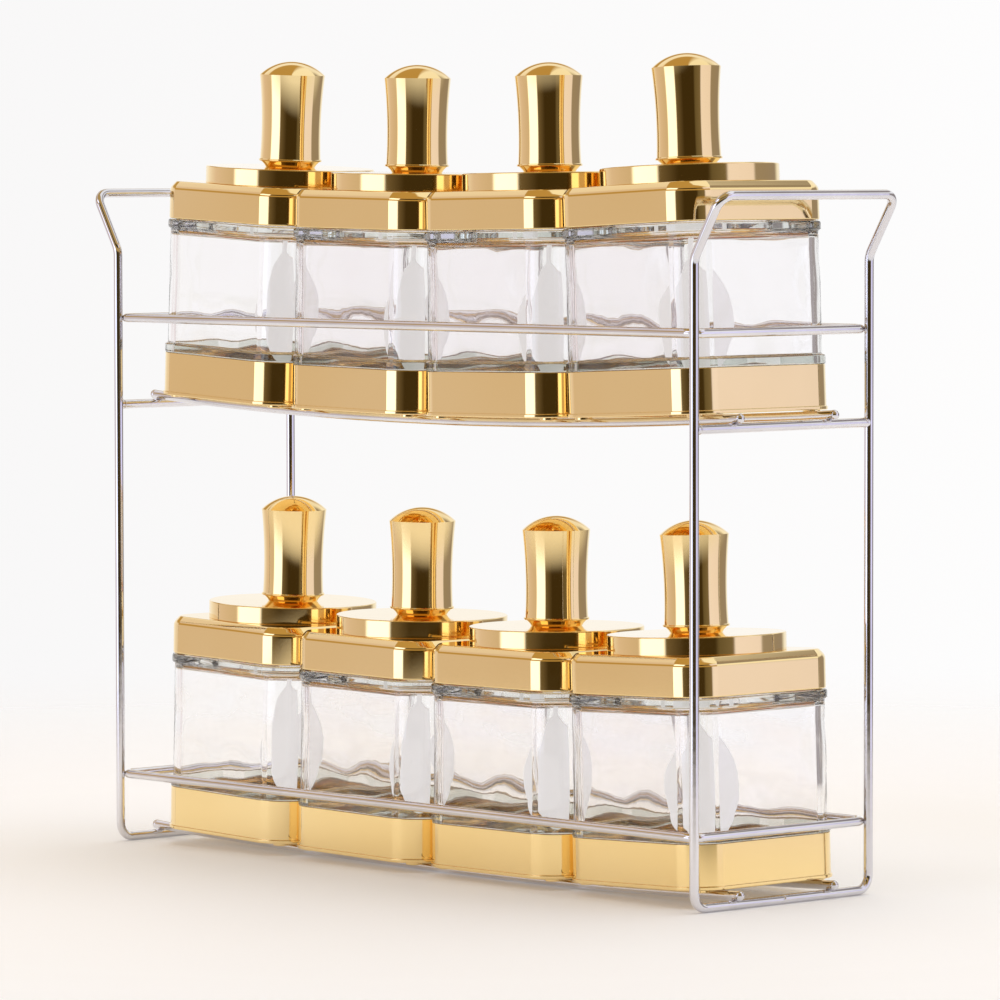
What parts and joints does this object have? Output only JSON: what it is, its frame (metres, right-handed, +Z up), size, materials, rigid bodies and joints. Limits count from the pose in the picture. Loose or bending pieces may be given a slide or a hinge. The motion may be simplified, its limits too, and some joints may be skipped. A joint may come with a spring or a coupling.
{
  "type": "two-tier spice jar rack",
  "caption": "Free-standing two-tier wire rack with rows of square glass spice jars, each with a gold base cup, a knobbed lid and a hanging spoon.",
  "frame": {"origin": "on the table, under the middle of the rack", "axes": "+X along the row of jars to the right, +Y to the back, +Z up"},
  "size_m": [0.3266, 0.0846, 0.2821],
  "materials": {
    "chrome_wire": "bright nickel-chrome plating on steel wire",
    "gold_cup": "mirror-bright gold plating",
    "gold_lid": "mirror-bright gold plating",
    "gold_disc": "mirror-bright gold plating",
    "gold_knob": "mirror-bright gold plating",
    "clear_glass": "clear pressed glass, faint green in the thick edges",
    "milky_plastic": "milky white, slightly translucent"
  },
  "bodies": {
    "rack": {"side_frame_left": "chrome_wire", "side_frame_right": "chrome_wire", "crossbar_left": "chrome_wire", "crossbar_right": "chrome_wire", "guard_rail_upper": "chrome_wire", "guard_rail_lower": "chrome_wire", "floor_wire_upper_front": "chrome_wire", "floor_wire_upper_rear": "chrome_wire", "floor_wire_lower_front": "chrome_wire", "floor_wire_lower_rear": "chrome_wire"},
    "jar_upper_1": {"base_cup_upper_1": "gold_cup", "glass_jar_upper_1": "clear_glass"},
    "lid_set_upper_1": {"lid_upper_1": "gold_lid", "lid_disc_upper_1": "gold_disc", "knob_upper_1": "gold_knob", "spoon_upper_1": "milky_plastic"},
    "jar_upper_2": {"base_cup_upper_2": "gold_cup", "glass_jar_upper_2": "clear_glass"},
    "lid_set_upper_2": {"lid_upper_2": "gold_lid", "lid_disc_upper_2": "gold_disc", "knob_upper_2": "gold_knob", "spoon_upper_2": "milky_plastic"},
    "jar_upper_3": {"base_cup_upper_3": "gold_cup", "glass_jar_upper_3": "clear_glass"},
    "lid_set_upper_3": {"lid_upper_3": "gold_lid", "lid_disc_upper_3": "gold_disc", "knob_upper_3": "gold_knob", "spoon_upper_3": "milky_plastic"},
    "jar_upper_4": {"base_cup_upper_4": "gold_cup", "glass_jar_upper_4": "clear_glass"},
    "lid_set_upper_4": {"lid_upper_4": "gold_lid", "lid_disc_upper_4": "gold_disc", "knob_upper_4": "gold_knob", "spoon_upper_4": "milky_plastic"},
    "jar_lower_1": {"base_cup_lower_1": "gold_cup", "glass_jar_lower_1": "clear_glass"},
    "lid_set_lower_1": {"lid_lower_1": "gold_lid", "lid_disc_lower_1": "gold_disc", "knob_lower_1": "gold_knob", "spoon_lower_1": "milky_plastic"},
    "jar_lower_2": {"base_cup_lower_2": "gold_cup", "glass_jar_lower_2": "clear_glass"},
    "lid_set_lower_2": {"lid_lower_2": "gold_lid", "lid_disc_lower_2": "gold_disc", "knob_lower_2": "gold_knob", "spoon_lower_2": "milky_plastic"},
    "jar_lower_3": {"base_cup_lower_3": "gold_cup", "glass_jar_lower_3": "clear_glass"},
    "lid_set_lower_3": {"lid_lower_3": "gold_lid", "lid_disc_lower_3": "gold_disc", "knob_lower_3": "gold_knob", "spoon_lower_3": "milky_plastic"},
    "jar_lower_4": {"base_cup_lower_4": "gold_cup", "glass_jar_lower_4": "clear_glass"},
    "lid_set_lower_4": {"lid_lower_4": "gold_lid", "lid_disc_lower_4": "gold_disc", "knob_lower_4": "gold_knob", "spoon_lower_4": "milky_plastic"}
  },
  "joints": [
    {"name": "jar_lift_upper_1", "type": "slide", "parent": "rack", "child": "jar_upper_1", "axis": [0, 0, 1], "range_m": [0, 0.036]},
    {"name": "lid_lift_upper_1", "type": "slide", "parent": "jar_upper_1", "child": "lid_set_upper_1", "axis": [0, 0, 1], "range_m": [0, 0.062]},
    {"name": "jar_lift_upper_2", "type": "slide", "parent": "rack", "child": "jar_upper_2", "axis": [0, 0, 1], "range_m": [0, 0.036]},
    {"name": "lid_lift_upper_2", "type": "slide", "parent": "jar_upper_2", "child": "lid_set_upper_2", "axis": [0, 0, 1], "range_m": [0, 0.062]},
    {"name": "jar_lift_upper_3", "type": "slide", "parent": "rack", "child": "jar_upper_3", "axis": [0, 0, 1], "range_m": [0, 0.036]},
    {"name": "lid_lift_upper_3", "type": "slide", "parent": "jar_upper_3", "child": "lid_set_upper_3", "axis": [0, 0, 1], "range_m": [0, 0.062]},
    {"name": "jar_lift_upper_4", "type": "slide", "parent": "rack", "child": "jar_upper_4", "axis": [0, 0, 1], "range_m": [0, 0.036]},
    {"name": "lid_lift_upper_4", "type": "slide", "parent": "jar_upper_4", "child": "lid_set_upper_4", "axis": [0, 0, 1], "range_m": [0, 0.062]},
    {"name": "jar_lift_lower_1", "type": "slide", "parent": "rack", "child": "jar_lower_1", "axis": [0, 0, -1], "range_m": [-0.0245, 0]},
    {"name": "lid_lift_lower_1", "type": "slide", "parent": "jar_lower_1", "child": "lid_set_lower_1", "axis": [0, 0, 1], "range_m": [0, 0.028]},
    {"name": "jar_lift_lower_2", "type": "slide", "parent": "rack", "child": "jar_lower_2", "axis": [0, 0, -1], "range_m": [-0.0245, 0]},
    {"name": "lid_lift_lower_2", "type": "slide", "parent": "jar_lower_2", "child": "lid_set_lower_2", "axis": [0, 0, 1], "range_m": [0, 0.028]},
    {"name": "jar_lift_lower_3", "type": "slide", "parent": "rack", "child": "jar_lower_3", "axis": [0, 0, -1], "range_m": [-0.0245, 0]},
    {"name": "lid_lift_lower_3", "type": "slide", "parent": "jar_lower_3", "child": "lid_set_lower_3", "axis": [0, 0, 1], "range_m": [0, 0.028]},
    {"name": "jar_lift_lower_4", "type": "slide", "parent": "rack", "child": "jar_lower_4", "axis": [0, 0, -1], "range_m": [-0.0245, 0]},
    {"name": "lid_lift_lower_4", "type": "slide", "parent": "jar_lower_4", "child": "lid_set_lower_4", "axis": [0, 0, 1], "range_m": [0, 0.028]}
  ]
}
